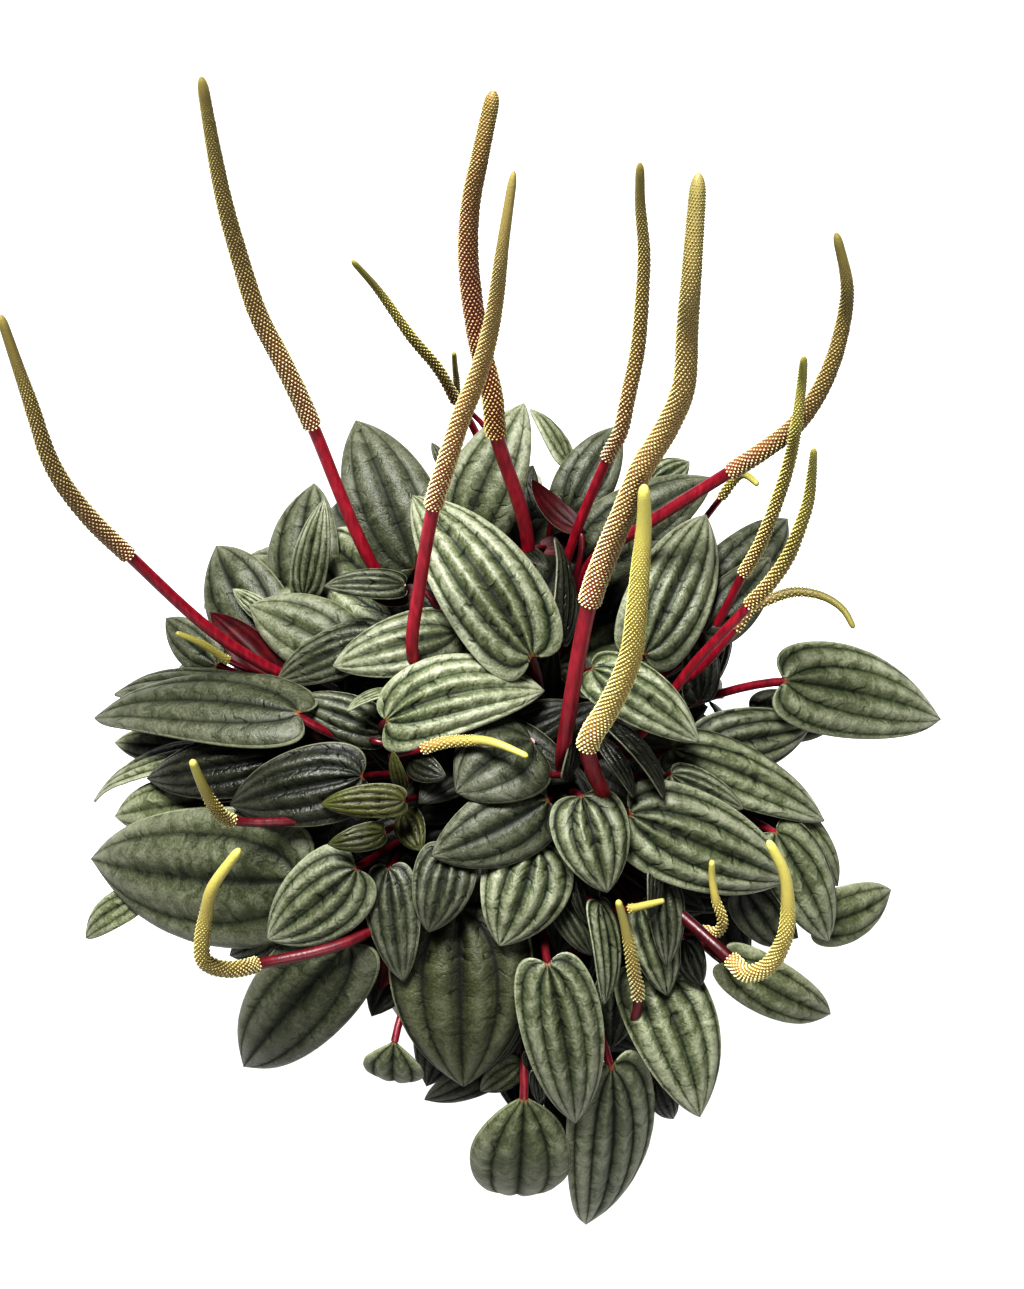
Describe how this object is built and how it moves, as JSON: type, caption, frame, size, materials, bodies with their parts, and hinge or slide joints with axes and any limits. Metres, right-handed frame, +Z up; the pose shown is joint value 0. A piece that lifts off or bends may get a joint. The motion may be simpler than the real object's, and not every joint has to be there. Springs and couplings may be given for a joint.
{
  "type": "ripple peperomia in a pot",
  "caption": "Ripple peperomia plant: a mound of small corrugated heart-shaped leaves with upright slender flower spikes, in a plain round nursery pot.",
  "frame": {"origin": "centre of the flat underside of the pot, which it rests on", "axes": "+Z up along the pot's axis, the plant's front towards -Y, its right side as seen from the front towards +X"},
  "size_m": [0.2105, 0.1857, 0.3032],
  "materials": {
    "pot": "satin",
    "soil": "matte",
    "foliage": "satin",
    "stalk": "satin",
    "spadix_olive": "matte",
    "spadix_cream": "matte"
  },
  "bodies": {
    "root": {"pot": "pot", "soil": "soil", "foliage": "foliage", "flower_stalk_01": "stalk", "flower_stalk_02": "stalk", "flower_stalk_03": "stalk", "flower_stalk_04": "stalk", "flower_stalk_05": "stalk", "flower_stalk_06": "stalk", "flower_stalk_07": "stalk", "flower_stalk_08": "stalk", "flower_stalk_09": "stalk", "flower_stalk_10": "stalk", "flower_stalk_11": "stalk", "flower_stalk_12": "stalk", "flower_stalk_13": "stalk", "flower_stalk_14": "stalk", "flower_stalk_15": "stalk", "flower_stalk_16": "stalk", "flower_stalk_17": "stalk", "flower_stalk_18": "stalk", "flower_stalk_19": "stalk", "flower_stalk_20": "stalk", "flower_stalk_21": "stalk", "flower_stalk_22": "stalk", "spadix_01": "spadix_olive", "spadix_02": "spadix_olive", "spadix_03": "spadix_olive", "spadix_04": "spadix_cream", "spadix_05": "spadix_cream", "spadix_06": "spadix_cream", "spadix_07": "spadix_cream", "spadix_08": "spadix_cream", "spadix_09": "spadix_cream", "spadix_10": "spadix_cream", "spadix_11": "spadix_cream", "spadix_12": "spadix_cream", "spadix_13": "spadix_cream", "spadix_14": "spadix_cream", "spadix_15": "spadix_cream", "spadix_16": "spadix_cream", "spadix_17": "spadix_cream", "spadix_18": "spadix_cream", "spadix_19": "spadix_cream", "spadix_20": "spadix_cream", "spadix_21": "spadix_cream", "spadix_22": "spadix_cream"}
  },
  "joints": []
}
